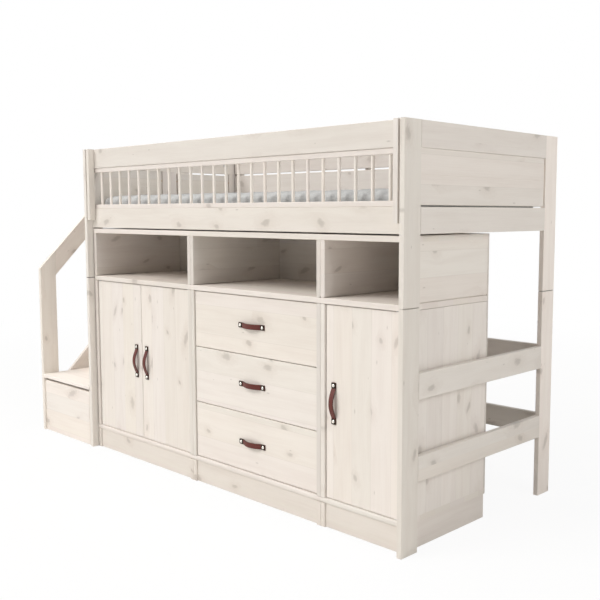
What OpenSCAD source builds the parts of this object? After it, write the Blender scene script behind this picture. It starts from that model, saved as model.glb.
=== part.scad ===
// Loft bed of whitewashed pine: barred guard, stairs with a balustrade, three cabinets below.
// Millimetres, +Z up. The origin is on the floor, under the middle of the overall box.
// Inside place(), X starts at the outer face of the bed's left posts, Y at the posts' front edges.

/* [Bed] */
// Length of the mattress, which sets the length of the bed
mattress_l = 2000; // [1900:10:2100]
// Width of the mattress, which sets the width of the bed
mattress_w = 900; // [800:10:1200]
// Gap between the mattress and an end of the bed
mattress_end_gap = 13; // [5:1:20]
// Gap between the mattress and a side rail
mattress_side_gap = 5; // [3:1:15]
// Thickness of the posts, rails, guard boards and cabinet boards
board_t = 22; // [20:1:24]
// Width of a post's wide face
post_w = 92; // [80:1:110]
// Height of the seam between a post's lower and upper piece
post_seam_z = 881; // [700:1:1000]
// Height of a rail and of the guard's top boards
rail_h = 94; // [80:1:100]
// Height of the open line between the bed rails and the top boards
guard_open_h = 202; // [180:1:260]
// Set-back of the long rails' faces behind the posts' edges
rail_setback = 33; // [28:1:40]
// Underside of the lower of the two lower rails
lower_rail_z = 256; // [150:1:300]
// Distance from one lower rail to the next
lower_rail_step = 298; // [200:1:350]
// Radius on the long edges of the boards
edge_r = 2.5; // [0.5:0.5:4]
// Height of the dark line that a seam shows on the boards' wide faces
line_h = 3.2; // [0.5:0.1:4]

/* [Guard] */
// Number of round bars in the front guard
bar_n = 24; // [16:1:28]
// Diameter of a bar
bar_d = 13; // [10:0.5:16]
// Depth of a bar's end in its strip
bar_seat = 9; // [5:1:12]
// Distance from a stile to the first bar's middle
bar_margin = 47; // [30:1:70]
// Height of the strips that hold the bars
strip_h = 21; // [18:1:30]
// Thickness of the strips
strip_t = 20; // [18:1:22]
// Set-back of the strips behind the guard's face
strip_setback = 4; // [1:0.5:8]
// Gap between a guard and the posts
guard_gap = 8; // [4:1:14]
// Width of a guard stile
stile_w = 22; // [18:1:40]
// Length of a stile below the top edge of the bed rail
stile_drop = 56; // [30:1:80]
// Gap under the guard panels, and over the lower ones
panel_gap = 6; // [3:1:12]
// Extra height of the open line over the lower guard boards
sight_gap = 9; // [5:1:20]
// Gap between the right end's panel and its rear post
panel_end_gap = 10; // [4:1:16]
// Set-back of the end panels behind the posts' outer faces
panel_setback = 3; // [0:0.5:4]

/* [Mattress and slats] */
// Thickness of the mattress at its edge
mattress_h = 114; // [80:1:130]
// Crown of the mattress over its edge
mattress_crown = 8; // [2:1:15]
// Height of the mattress's piping over its edge
piping_z = 12; // [8:1:16]
// Radius of the mattress's corners, seen from above
mattress_corner_r = 45; // [30:1:80]
// Depth by which the mattress's sides are drawn in at their middle
side_draw = 4; // [0:1:4]
// Number of slats
slat_n = 14; // [10:1:16]
// Width of a slat
slat_w = 70; // [50:1:90]
// Thickness of a slat
slat_t = 18; // [14:1:22]
// Width of a slat bearer
bearer_w = 28; // [20:1:40]
// Height of a slat bearer
bearer_h = 24; // [18:1:30]

/* [Stairs] */
// Width of the stairs beside the bed
stair_w = 507; // [420:1:560]
// Height of the first tread
first_rise = 316; // [280:1:330]
// Height from one tread to the next
rise = 304; // [280:1:310]
// Depth from one riser to the next
run = 298; // [260:1:310]
// Number of treads
step_n = 3; // [2:1:3]
// Set-back of a riser behind its tread's front edge
riser_setback = 9; // [4:1:20]
// Height of the open line between a riser and its tread
riser_gap = 13; // [0:1:20]
// Width of the groove between the stairs' front and the bed's post
stair_slot = 4; // [0:0.5:8]
// Height of the handrail's upper edge at the front
handrail_z = 904; // [850:1:920]
// Height of the lower sloping rail's upper edge at the front
kick_z = 152; // [140:1:200]
// Radius of the treads' front edges
tread_r = 5; // [1:0.5:8]

/* [Cabinets] */
// Width of each of the two wide cabinets; the narrow one takes what is left
wide_w = 808; // [740:1:820]
// Depth of the cabinets
cabinet_d = 527; // [450:1:700]
// Gap between the outer cabinets and the bed's posts
cabinet_gap = 5; // [3:1:8]
// Gap between the cabinets and the bed rail over them
cabinet_headroom = 6; // [4:1:12]
// Height of the plinth
plinth_h = 95; // [70:1:100]
// Clear height behind the doors
door_zone_h = 751; // [690:1:850]
// Clear height of the open shelves
shelf_h = 217; // [180:1:260]
// Set-back of the doors, drawer fronts and plinth boards
front_setback = 7; // [5:0.5:9]
// Thickness of the doors and drawer fronts
front_t = 20; // [18:1:22]
// Gap round the doors and drawer fronts
front_gap = 3; // [2.5:0.25:4]
// Thickness of the cabinet backs
back_t = 8; // [5:1:10]
// Radius of the bottom boards' front edges
nosing_r = 8; // [3:0.5:9]
// Thickness of the inner shelves
inner_shelf_t = 18; // [15:1:22]

/* [Door pivots] */
// Diameter of a door's pivot pin
pivot_d = 6; // [5:0.5:7]
// Distance from a door's outer edge to its pivot
pivot_in = 8; // [7:0.5:9]
// Distance from a door's front face to its pivot
pivot_back = 7; // [6:0.5:7]
// Length of the pin in the door and in the board
pivot_seat = 12; // [8:1:16]

/* [Drawers] */
// Thickness of the drawer boxes' boards
box_t = 15; // [12:1:18]
// Thickness of the drawers' bottoms
box_bottom_t = 6; // [4:1:9]
// Height of the drawer boxes
box_h = 180; // [120:1:190]
// Depth of the drawer boxes behind their fronts
box_d = 465; // [400:1:470]
// Gap between a drawer box and the cabinet's side
box_gap = 6; // [4:1:10]
// Height of the wooden runners
runner_h = 16; // [12:1:20]
// Depth of the groove that rides on a runner
groove_d = 7; // [5:1:8]

/* [Handles] */
// Width of a handle's strap
strap_w = 20; // [16:1:30]
// Thickness of a strap
strap_t = 4; // [3:0.5:5]
// Length of a strap
strap_l = 166; // [120:1:200]
// Distance between a strap's screws
screw_pitch = 140; // [90:1:150]
// Rise of a strap's middle off the front
strap_bow = 20; // [14:1:26]
// Length of a strap that lies flat beside each screw, towards the middle
strap_flat = 12; // [8:1:20]
// Distance from a door's free edge to its handle
handle_in = 41; // [25:1:60]

/* [Joints] */
// Diameter of the wooden dowels
dowel_d = 8; // [6:1:10]
// Length of a dowel in each of its two pieces
dowel_in = 11; // [8:1:14]
// Diameter of a connector's bolt
bolt_d = 6; // [5:0.5:7]
// Diameter of a connector's cross drum
drum_d = 15; // [12:1:16]
// Distance from a rail's end to the cross drum
drum_in = 34; // [26:1:40]

/* [Hidden] */

// Finishes
pine = "#ddd4c8";
raw_pine = "#d9c6a5";
steel = "#b9bcc0";
leather = "#7c4a34";
cloth = "#b9c0c2";

// Fits: a seam between two pieces of one group, a soft or sliding gap, a bore round its pin
seam = 0.2;
slip = 0.3;
pin_fit = 0.06;
fit = 0.1;

// Heights of the cabinets, which set the height of the bed
door_zone_z = plinth_h + board_t;
mid_z = door_zone_z + door_zone_h;
shelf_z = mid_z + board_t;
cabinet_top_z = shelf_z + shelf_h;

// Sizes of the bed over its posts
bed_l = mattress_l + 2 * mattress_end_gap + 2 * board_t;
bed_w = mattress_w + 2 * mattress_side_gap + 2 * board_t + 2 * rail_setback;
rail_z = cabinet_top_z + board_t + cabinet_headroom;
rail_top = rail_z + rail_h;
top_z = rail_top + guard_open_h;
bed_h = top_z + rail_h;
lower_zs = [lower_rail_z, lower_rail_z + lower_rail_step];
lower_board_h = top_z - sight_gap - rail_top - panel_gap;

// Lines across the bed
inner_x = [board_t, bed_l - board_t];
post_mid_x = [board_t / 2, bed_l - board_t / 2];
post_mid_y = [post_w, bed_w - post_w];
rail_ys = [rail_setback, bed_w - rail_setback - board_t];
rail_mid_ys = [rail_setback + board_t / 2, bed_w - rail_setback - board_t / 2];
end_l = bed_w - 2 * post_w;
side_l = bed_l - 2 * board_t;
upright_y = (bed_w - post_w) / 2;
guard_x = board_t + guard_gap;
guard_l = bed_l - 2 * guard_x;
bar_pitch = (guard_l - 2 * stile_w - 2 * bar_margin) / (bar_n - 1);
bar_y = rail_setback + strip_setback + strip_t / 2;
bar_z = rail_top + strip_h;
bar_l = top_z - strip_h - bar_z;

// Slats and mattress
bearer_z = rail_z;
slat_z = bearer_z + bearer_h;
slat_y = rail_setback + board_t;
slat_l = bed_w - 2 * slat_y;
slat_margin = 30;
slat_pitch = (side_l - 2 * slat_margin - slat_w) / (slat_n - 1);
mattress_z = slat_z + slat_t + slip;

// Stairs, left of the bed
stair_x = -stair_w;
tread_x = stair_x + board_t;
tread_l = stair_w - board_t - stair_slot;
riser_l = stair_w - 2 * board_t;
slope = rise / run;
rail_rise = rail_h * sqrt(1 + slope * slope);
bend_y = (bed_h - handrail_z) / slope;
under_bend_y = bend_y + (rail_rise - rail_h) / slope;
function tread_top(i) = first_rise + i * rise;
function tread_y(i) = i * run;
function riser_y(i) = tread_y(i) + riser_setback;
function tread_end(i) = i < step_n - 1 ? riser_y(i + 1) : bed_w;

// Cabinets, from left to right
narrow_w = side_l - 2 * cabinet_gap - 2 * wide_w;
cabinet_ws = [wide_w, wide_w, narrow_w];
cabinet_xs = [
    board_t + cabinet_gap,
    board_t + cabinet_gap + wide_w,
    board_t + cabinet_gap + 2 * wide_w
];
cabinet_y = rail_setback;
front_y = cabinet_y + front_setback;
board_d = cabinet_d - back_t;
door_z = door_zone_z + front_gap;
door_h = door_zone_h - 2 * front_gap;
wide_clear = wide_w - 2 * board_t;
narrow_clear = narrow_w - 2 * board_t;
pair_door_w = (wide_clear - 3 * front_gap) / 2;
single_door_w = narrow_clear - 2 * front_gap;

// Doors: outer edge, width, and the side on which each is hinged, -1 left or +1 right
door_ws = [pair_door_w, pair_door_w, single_door_w];
door_sides = [-1, 1, 1];
door_xs = [
    cabinet_xs[0] + board_t + front_gap,
    cabinet_xs[0] + board_t + 2 * front_gap + pair_door_w,
    cabinet_xs[2] + board_t + front_gap
];
function pivot_x(i) = door_xs[i] + (door_sides[i] < 0 ? pivot_in : door_ws[i] - pivot_in);
function handle_x(i) = door_xs[i] + (door_sides[i] < 0 ? door_ws[i] - handle_in : handle_in);
pivot_y = front_y + pivot_back;
handle_z = door_z + door_h / 2;

// Drawers, from the top down
drawer_n = 3;
drawer_x = cabinet_xs[1] + board_t + front_gap;
drawer_w = wide_clear - 2 * front_gap;
drawer_h = (door_h - (drawer_n - 1) * front_gap) / drawer_n;
function drawer_z(i) = door_z + (drawer_n - 1 - i) * (drawer_h + front_gap);
box_x = cabinet_xs[1] + board_t + box_gap;
box_w = wide_clear - 2 * box_gap;
box_y = front_y + front_t;
box_up = (drawer_h - box_h) / 2;
groove_h = runner_h + 2 * slip;
groove_up = box_h / 2;
groove_front = 30;
runner_y = box_y + groove_front + 4;
runner_l = box_d - groove_front - 4;

// Joints between posts and rails
dowel_places = [0.22, 0.78];
drum_depth = 0.6 * board_t;
end_rail_zs = [lower_zs[0], lower_zs[1], rail_z, top_z];
rear_rail_zs = [lower_zs[0], lower_zs[1], rail_z];

// A dowel is [x, y, z, axis, length], measured from its middle; axis 0 is X, 1 is Y and 2 is Z
end_dowels = [
    for (x = post_mid_x, y = post_mid_y, z = end_rail_zs, f = dowel_places)
        [x, y, z + f * rail_h, 1, 2 * dowel_in]
];
front_dowels = [
    for (x = inner_x, f = dowel_places) [x, rail_mid_ys[0], rail_z + f * rail_h, 0, 2 * dowel_in]
];
rear_dowels = [
    for (x = inner_x, z = rear_rail_zs, f = dowel_places)
        [x, rail_mid_ys[1], z + f * rail_h, 0, 2 * dowel_in]
];
seam_dowels = [
    for (x = post_mid_x, y0 = [0, bed_w - post_w], f = dowel_places)
        [x, y0 + f * post_w, post_seam_z, 2, 2 * dowel_in]
];
panel_z = rail_top + panel_gap;
panel_h = top_z - panel_z;
panel_t = board_t - panel_setback;
panel_x = panel_setback + panel_t / 2;
right_panel_dowels = [
    for (f = dowel_places)
        for (d = [[post_w, 2 * dowel_in], [bed_w - post_w - panel_end_gap / 2, 2 * dowel_in + panel_end_gap]])
            [bed_l - panel_x, d[0], panel_z + f * panel_h, 1, d[1]]
];
left_slots = [
    post_w + guard_gap / 2,
    upright_y - guard_gap / 2,
    upright_y + post_w + guard_gap / 2,
    bed_w - post_w - guard_gap / 2
];
left_panel_dowels = [
    for (y = left_slots, f = dowel_places)
        [panel_x, y, panel_z + f * lower_board_h, 1, 2 * dowel_in + guard_gap]
];
upright_dowels = [
    for (z = [rail_top, top_z], f = dowel_places)
        [post_mid_x[0], upright_y + f * post_w, z, 2, 2 * dowel_in]
];
all_dowels = concat(end_dowels, front_dowels, rear_dowels, seam_dowels,
                    right_panel_dowels, left_panel_dowels, upright_dowels);

// A connector is [x, y, z, turn, side]: its joint plane, its turn about Z and its drum's open side
side_connectors = [
    for (j = [0, 1], i = [0, 1], z = j == 0 ? [rail_z] : rear_rail_zs)
        [inner_x[i], rail_mid_ys[j], z + rail_h / 2, 180 * i, (j == 0 ? 1 : -1) * (i == 0 ? 1 : -1)]
];
end_connectors = [
    for (i = [0, 1], j = [0, 1], z = end_rail_zs)
        [post_mid_x[i], post_mid_y[j], z + rail_h / 2, 90 - 180 * j, (i == 0 ? -1 : 1) * (j == 0 ? 1 : -1)]
];
all_connectors = concat(side_connectors, end_connectors);

// Outline of a rectangle with round corners
module round_rect(a, b, r) {
    translate([r, 0]) square([a - 2 * r, b]);
    translate([0, r]) square([a, b - 2 * r]);
    for (x = [r, a - r], y = [r, b - r]) translate([x, y]) circle(r, $fn = 32);
}

// Boards with round long edges, which run along X, along Y or upwards
module board_x(l, d, h, r = edge_r) {
    rotate([90, 0, 90]) linear_extrude(l) round_rect(d, h, r);
}
module board_y(w, l, h, r = edge_r) {
    translate([0, 0, h]) rotate([-90, 0, 0]) linear_extrude(l) round_rect(w, h, r);
}
module board_z(w, d, h, r = edge_r) {
    linear_extrude(h) round_rect(w, d, r);
}

// Board along X with one round front edge above and below
module nosed_board(l, d, h, r) {
    rotate([90, 0, 90]) linear_extrude(l) {
        translate([r, 0]) square([d - r, h]);
        translate([0, r]) square([r, h - 2 * r]);
        for (y = [r, h - r]) translate([r, y]) circle(r, $fn = 48);
    }
}

// Moves a sub-part from the bed's corner to its place round the origin
module place() {
    translate([(stair_w - bed_l) / 2, -bed_w / 2, 0]) children();
}

module dowel_set(list, grow = 0) {
    for (p = list)
        translate([p[0], p[1], p[2]])
            rotate(p[3] == 0 ? [0, 90, 0] : p[3] == 1 ? [90, 0, 0] : [0, 0, 0])
                cylinder(d = dowel_d + 2 * grow, h = p[4] + 4 * grow, center = true, $fn = 24);
}

module connector_set(list, grow = 0) {
    for (p = list) {
        translate([p[0], p[1], p[2]]) rotate([0, 0, p[3]]) {
            translate([-dowel_in - grow, 0, 0]) rotate([0, 90, 0])
                cylinder(d = bolt_d + 2 * grow, h = dowel_in + drum_in - drum_d / 2 + grow, $fn = 24);
            translate([drum_in, p[4] * (board_t / 2 - drum_depth / 2 + grow), 0]) rotate([90, 0, 0])
                cylinder(d = drum_d + (grow > 0 ? 2 * grow : -2 * seam),
                         h = drum_depth + 2 * grow, center = true, $fn = 36);
        }
    }
}

// Slots of height h in the wide faces of an upright w by d, at the height of a seam in it
module seam_lines(w, d, h) {
    deep = 5;
    for (x = [0, w]) translate([x, d / 2, 0]) cube([2 * deep, d + 2, h], center = true);
}

// Posts
module post(ix, iy) {
    x = ix * (bed_l - board_t);
    y = iy * (bed_w - post_w);
    color(pine) place() difference() {
        translate([x, y, 0]) {
            board_z(board_t, post_w, post_seam_z - seam / 2);
            translate([0, 0, post_seam_z + seam / 2])
                board_z(board_t, post_w, bed_h - post_seam_z - seam / 2);
        }
        translate([x, y, post_seam_z]) seam_lines(board_t, post_w, line_h);
        near_bores(ix, iy);
    }
}
function near(list, x, y) = [for (p = list) if (abs(p[0] - x) < 2 * board_t && abs(p[1] - y) < 1.5 * post_w) p];
module near_bores(ix, iy) {
    x = post_mid_x[ix];
    y = post_w / 2 + iy * (bed_w - post_w);
    dowel_set(near(all_dowels, x, y), fit);
    connector_set(near(all_connectors, x, y), fit);
}

// Rails along the bed, j = 0 front or 1 rear
module side_rail(j) {
    color(pine) place() difference() {
        translate([board_t, rail_ys[j], rail_z]) board_x(side_l, board_t, rail_h);
        dowel_set(j == 0 ? front_dowels : rear_dowels, fit);
        connector_set(side_connectors, fit);
    }
}
module lower_rails_rear() {
    color(pine) place() difference() {
        for (z = lower_zs) translate([board_t, rail_ys[1], z]) board_x(side_l, board_t, rail_h);
        dowel_set(rear_dowels, fit);
        connector_set(side_connectors, fit);
    }
}

// Rails across an end, flush with the posts, i = 0 left or 1 right
module end_rail_at(i, z) {
    translate([i * (bed_l - board_t), post_w, z]) board_y(board_t, end_l, rail_h);
}
module end_rails_cut() {
    difference() {
        children();
        dowel_set(end_dowels, fit);
        connector_set(end_connectors, fit);
        dowel_set(upright_dowels, fit);
    }
}
module end_rail(i) {
    color(pine) place() end_rails_cut() end_rail_at(i, rail_z);
}
module lower_rails_ends() {
    color(pine) place() end_rails_cut() {
        for (i = [0, 1], z = lower_zs) end_rail_at(i, z);
    }
}
module end_top_rails() {
    color(pine) place() end_rails_cut() {
        for (i = [0, 1]) end_rail_at(i, top_z);
    }
}

// End panels: the right one is glued up from two boards, which a fine groove shows
module end_panel_right() {
    y0 = post_w + seam;
    l = end_l - panel_end_gap - seam;
    x0 = bed_l - board_t;
    groove_w = 1.2;
    color(pine) place() difference() {
        translate([x0, y0, panel_z]) board_y(panel_t, l, panel_h);
        translate([x0 + panel_t, y0 - 1, panel_z + panel_h * 0.53]) rotate([0, 45, 0])
            cube([groove_w, 2 * l + 2, groove_w], center = true);
        dowel_set(right_panel_dowels, fit);
    }
}
module end_panels_left() {
    front_l = upright_y - post_w - 2 * guard_gap;
    rear_y = upright_y + post_w + guard_gap;
    color(pine) place() difference() {
        union() {
            translate([panel_setback, post_w + guard_gap, panel_z]) board_y(panel_t, front_l, panel_h);
            translate([panel_setback, rear_y, panel_z])
                board_y(panel_t, bed_w - post_w - guard_gap - rear_y, lower_board_h);
        }
        dowel_set(left_panel_dowels, fit);
    }
}
module end_upright_left() {
    color(pine) place() difference() {
        translate([0, upright_y, rail_top]) board_z(board_t, post_w, top_z - rail_top);
        dowel_set(upright_dowels, fit);
        dowel_set(left_panel_dowels, fit);
    }
}

// Guard at the rear: two boards on three stiles, which hang over the rail's outer face
module rear_guard_boards() {
    color(pine) place() {
        translate([guard_x, rail_ys[1], top_z]) board_x(guard_l, board_t, rail_h);
        translate([guard_x, rail_ys[1], panel_z]) board_x(guard_l, board_t, lower_board_h);
    }
}
module rear_guard_stiles() {
    y = rail_ys[1] + board_t;
    color(pine) place()
        for (x = [guard_x, (bed_l - stile_w) / 2, guard_x + guard_l - stile_w])
            translate([x, y, rail_top - stile_drop])
                board_z(stile_w, rail_setback, bed_h - rail_top + stile_drop);
}

// Guard at the front: a board over two strips with round bars between, on two stiles
module guard_top_board() {
    color(pine) place() translate([guard_x, rail_setback, top_z]) board_x(guard_l, board_t, rail_h);
}
module guard_bar_set(grow = 0) {
    for (i = [0 : bar_n - 1])
        translate([guard_x + stile_w + bar_margin + i * bar_pitch, bar_y, bar_z - bar_seat - grow])
            cylinder(d = bar_d + 2 * grow, h = bar_l + 2 * (bar_seat + grow), $fn = 32);
}
module guard_strips() {
    color(pine) place() difference() {
        for (z = [rail_top, top_z - strip_h])
            translate([guard_x, rail_setback + strip_setback, z]) board_x(guard_l, strip_t, strip_h, edge_r);
        guard_bar_set(pin_fit);
    }
}
module guard_bars() {
    color(pine) place() guard_bar_set();
}
module guard_stiles() {
    color(pine) place()
        for (x = [guard_x, guard_x + guard_l - stile_w])
            translate([x, 0, rail_top - stile_drop])
                board_z(stile_w, rail_setback, bed_h - rail_top + stile_drop);
}

// Slats on a bearer along each side rail
module slat_bearers() {
    color(raw_pine) place()
        for (y = [slat_y, bed_w - slat_y - bearer_w])
            translate([board_t, y, bearer_z]) board_x(side_l, bearer_w, bearer_h);
}
module slats() {
    color(raw_pine) place()
        for (i = [0 : slat_n - 1])
            translate([board_t + slat_margin + i * slat_pitch, slat_y + 1, slat_z])
                board_y(slat_w, slat_l - 2, slat_t);
}

// Mattress: loops round a soft box, drawn in a little along its sides, under a crowned top
corner_steps = 5;
long_steps = 14;
short_steps = 7;
function arc_points(cx, cy, r, a0) = [
    for (k = [0 : corner_steps]) let(a = a0 + 90 * k / corner_steps) [cx + r * cos(a), cy + r * sin(a)]
];
function line_points(p, q, n, draw) = [
    for (k = [1 : n - 1]) let(s = k / n, w = draw * sin(180 * s))
        [p[0] + (q[0] - p[0]) * s + (p[0] == q[0] ? -sign(p[0]) * w : 0),
         p[1] + (q[1] - p[1]) * s + (p[1] == q[1] ? -sign(p[1]) * w : 0)]
];
function mattress_loop(a, b, r, draw) = concat(
    arc_points(a - r, b - r, r, 0),
    line_points([a - r, b], [r - a, b], long_steps, draw),
    arc_points(r - a, b - r, r, 90),
    line_points([-a, b - r], [-a, r - b], short_steps, draw),
    arc_points(r - a, r - b, r, 180),
    line_points([r - a, -b], [a - r, -b], long_steps, draw),
    arc_points(a - r, r - b, r, 270),
    line_points([a, r - b], [a, b - r], short_steps, draw)
);
// Each ring is [inset from the side, height]: the piped edges stand out and the side between is full.
// Heights go by the piping and insets by the corner's radius
low_rings = [
    [0.31 * mattress_corner_r, 0],
    [0.07 * mattress_corner_r, piping_z / 3],
    [0, piping_z],
    [0.11 * mattress_corner_r, piping_z * 5 / 3]
];
crown_rings = [
    for (f = [[0.13, 0.35], [0.35, 0.7], [0.66, 1]])
        [f[0] * mattress_w / 2, mattress_h + f[1] * mattress_crown]
];
mattress_rings = concat(
    low_rings,
    [[0.04 * mattress_corner_r, mattress_h / 2]],
    [for (k = [len(low_rings) - 1 : -1 : 0]) [low_rings[k][0], mattress_h - low_rings[k][1]]],
    crown_rings
);
function loop_r(inset) = max(mattress_corner_r - inset, 0.13 * mattress_corner_r);
module mattress() {
    rings = mattress_rings;
    loops = [
        for (g = rings) [
            for (p = mattress_loop(mattress_l / 2 - g[0], mattress_w / 2 - g[0], loop_r(g[0]), side_draw))
                [p[0], p[1], g[1]]
        ]
    ];
    n = len(loops[0]);
    m = len(loops);
    points = concat([for (l = loops) each l], [[0, 0, 0], [0, 0, mattress_h + mattress_crown]]);
    walls = [
        for (j = [0 : m - 2], i = [0 : n - 1]) let(k = (i + 1) % n)
            each [[j * n + i, (j + 1) * n + k, j * n + k], [j * n + i, (j + 1) * n + i, (j + 1) * n + k]]
    ];
    base = [for (i = [0 : n - 1]) [n * m, i, (i + 1) % n]];
    top = [for (i = [0 : n - 1]) [n * m + 1, (m - 1) * n + (i + 1) % n, (m - 1) * n + i]];
    color(cloth) place() translate([bed_l / 2, bed_w / 2, mattress_z])
        polyhedron(points = points, faces = concat(walls, base, top), convexity = 4);
}

// Stairs: every board of the balustrade lies in one plane on the outer side. Each is a board with
// round long edges, cut to its outline [y, z] where it meets the next one
module stair_board(outline) {
    color(pine) place() translate([stair_x, 0, 0]) intersection() {
        children();
        translate([-1, 0, 0]) rotate([90, 0, 90]) linear_extrude(board_t + 2) polygon(outline);
    }
}
// Board along the slope, with its upper edge at height z over the front edge
module sloping_board(z) {
    spare = 2 * rail_h;
    translate([0, 0, z]) rotate([atan(slope), 0, 0]) translate([0, -spare, -rail_h])
        board_y(board_t, bed_w * sqrt(1 + slope * slope) + 2 * spare, rail_h);
}
module stair_front_post() {
    top = handrail_z + slope * post_w;
    stair_board([[0, 0], [post_w, 0], [post_w, top], [0, handrail_z]]) board_z(board_t, post_w, top + 1);
}
module stair_rear_post() {
    color(pine) place() translate([stair_x, bed_w - post_w, 0]) board_z(board_t, post_w, bed_h);
}
module stair_handrail() {
    z = handrail_z + slope * post_w;
    stair_board([[post_w, z - rail_rise - 1], [post_w, z + 1], [bend_y, z + slope * (bend_y - post_w) + 1],
                 [bend_y, bed_h], [under_bend_y, top_z], [under_bend_y, top_z - 1]])
        sloping_board(handrail_z);
}
module stair_top_rail() {
    end = bed_w - post_w;
    stair_board([[bend_y, bed_h + 1], [end, bed_h + 1], [end, top_z - 1], [under_bend_y, top_z - 1],
                 [under_bend_y, top_z], [bend_y, bed_h]])
        translate([0, bend_y - rail_h, top_z]) board_y(board_t, end - bend_y + 2 * rail_h, rail_h);
}
module stair_lower_rail() {
    end = bed_w - post_w;
    stair_board([[post_w, 0], [end, 0], [end, bed_h], [post_w, bed_h]]) sloping_board(kick_z);
}
// Each step is a box: its tread lies on its two sides, with its riser between the post and the inner
// side. The outer sides stand behind the risers
module stair_sides_outer() {
    color(pine) place()
        for (i = [0 : step_n - 1])
            translate([tread_x, riser_y(i) + board_t, 0])
                board_z(board_t, tread_end(i) - riser_y(i) - board_t, tread_top(i) - board_t);
}
module stair_sides_inner() {
    slot_d = 15;
    color(pine) place()
        for (i = [0 : step_n - 1])
            translate([-board_t, riser_y(i), 0]) difference() {
                board_z(board_t, tread_end(i) - riser_y(i) - seam, tread_top(i) - board_t);
                translate([board_t - stair_slot, -1, -1])
                    cube([stair_slot + 1, slot_d + 1, tread_top(i) + 2]);
            }
}
module stair_treads() {
    color(pine) place()
        for (i = [0 : step_n - 1])
            translate([tread_x, tread_y(i), tread_top(i) - board_t])
                nosed_board(tread_l, tread_end(i) - tread_y(i), board_t, tread_r);
}
module stair_risers() {
    color(pine) place()
        for (i = [0 : step_n - 1])
            translate([tread_x, riser_y(i), 0])
                board_x(riser_l, board_t, tread_top(i) - board_t - riser_gap);
}

// Cabinets: i = 0 left, 1 middle or 2 right
module cabinet_sides(i) {
    color(pine) place()
        for (x = [cabinet_xs[i], cabinet_xs[i] + cabinet_ws[i] - board_t]) {
            translate([x, cabinet_y, door_zone_z]) difference() {
                board_z(board_t, board_d, door_zone_h);
                translate([0, 0, door_zone_h]) seam_lines(board_t, board_d, line_h);
            }
            translate([x, cabinet_y, shelf_z]) difference() {
                board_z(board_t, board_d, shelf_h);
                seam_lines(board_t, board_d, 2 * line_h);
            }
        }
}
module cabinet_boards(i) {
    color(pine) place() difference() {
        translate([cabinet_xs[i], cabinet_y, 0]) {
            translate([0, 0, plinth_h]) nosed_board(cabinet_ws[i], board_d, board_t, nosing_r);
            translate([0, 0, mid_z]) board_x(cabinet_ws[i], board_d, board_t);
            translate([0, 0, cabinet_top_z]) board_x(cabinet_ws[i], board_d, board_t);
        }
        if (i != 1) pivot_pins(fit);
    }
}
module plinths() {
    color(pine) place()
        for (i = [0 : 2]) {
            x = cabinet_xs[i];
            w = cabinet_ws[i];
            for (f = [x + seam / 2, x + w - board_t - seam / 2])
                translate([f, cabinet_y, 0]) board_z(board_t, board_d, plinth_h);
            for (y = [front_y, cabinet_y + board_d - board_t])
                translate([x + board_t + seam, y, 0])
                    board_x(w - 2 * board_t - 2 * seam, board_t, plinth_h);
        }
}
module cabinet_backs() {
    color(pine) place()
        for (i = [0 : 2])
            translate([cabinet_xs[i] + seam, cabinet_y + board_d, plinth_h])
                cube([cabinet_ws[i] - 2 * seam, back_t, cabinet_top_z + board_t - plinth_h]);
}
module inner_shelves() {
    inner_y = front_y + front_t + 2 * front_gap;
    color(pine) place()
        for (i = [0, 2])
            translate([cabinet_xs[i] + board_t, inner_y, door_zone_z + (door_zone_h - inner_shelf_t) / 2])
                board_x(cabinet_ws[i] - 2 * board_t, cabinet_y + board_d - inner_y, inner_shelf_t);
}

// Doors turn on stepped steel pins in the boards above and below them
module pivot_pins(grow = 0) {
    for (i = [0 : 2], end = [0, 1]) {
        z = end == 0 ? door_zone_z : door_zone_z + door_zone_h;
        translate([pivot_x(i), pivot_y, z]) mirror([0, 0, end]) {
            translate([0, 0, -pivot_seat - grow])
                cylinder(d = pivot_d + 2 * grow, h = pivot_seat + front_gap + pivot_seat - 1 + grow, $fn = 32);
        }
    }
}
module pivot_collars() {
    for (i = [0 : 2], end = [0, 1]) {
        z = end == 0 ? door_zone_z : door_zone_z + door_zone_h;
        translate([pivot_x(i), pivot_y, z]) mirror([0, 0, end])
            cylinder(d = 2 * pivot_d, h = front_gap - slip, $fn = 32);
    }
}
module door_pivots() {
    color(steel) place() {
        pivot_pins();
        pivot_collars();
    }
}
module door(i) {
    color(pine) place() difference() {
        translate([door_xs[i], front_y, door_z]) board_z(door_ws[i], front_t, door_h);
        for (z = [door_z - 1, door_z + door_h - pivot_seat])
            translate([pivot_x(i), pivot_y, z])
                cylinder(d = pivot_d + 2 * pin_fit, h = pivot_seat + 1, $fn = 32);
    }
}

// Drawers: i = 0 top, 1 middle or 2 bottom
module drawer_front(i) {
    color(pine) place() translate([drawer_x, front_y, drawer_z(i)]) board_x(drawer_w, front_t, drawer_h);
}
module drawer_box(i) {
    z = drawer_z(i) + box_up;
    wall_z = z + box_bottom_t + seam;
    wall_h = box_h - box_bottom_t - seam;
    inner_w = box_w - 2 * box_t - 2 * seam;
    color(raw_pine) place() {
        translate([box_x, box_y, z]) cube([box_w, box_d, box_bottom_t]);
        for (x = [box_x, box_x + box_w - box_t])
            difference() {
                translate([x, box_y, wall_z]) board_y(box_t, box_d, wall_h, 1.5);
                drawer_grooves(z);
            }
        for (y = [box_y, box_y + box_d - box_t])
            translate([box_x + box_t + seam, y, wall_z]) board_x(inner_w, box_t, wall_h, 1.5);
    }
}
module drawer_grooves(z) {
    for (x = [box_x - 1, box_x + box_w - groove_d])
        translate([x, box_y + groove_front, z + groove_up - slip])
            cube([groove_d + 1, box_d, groove_h]);
}
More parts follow.
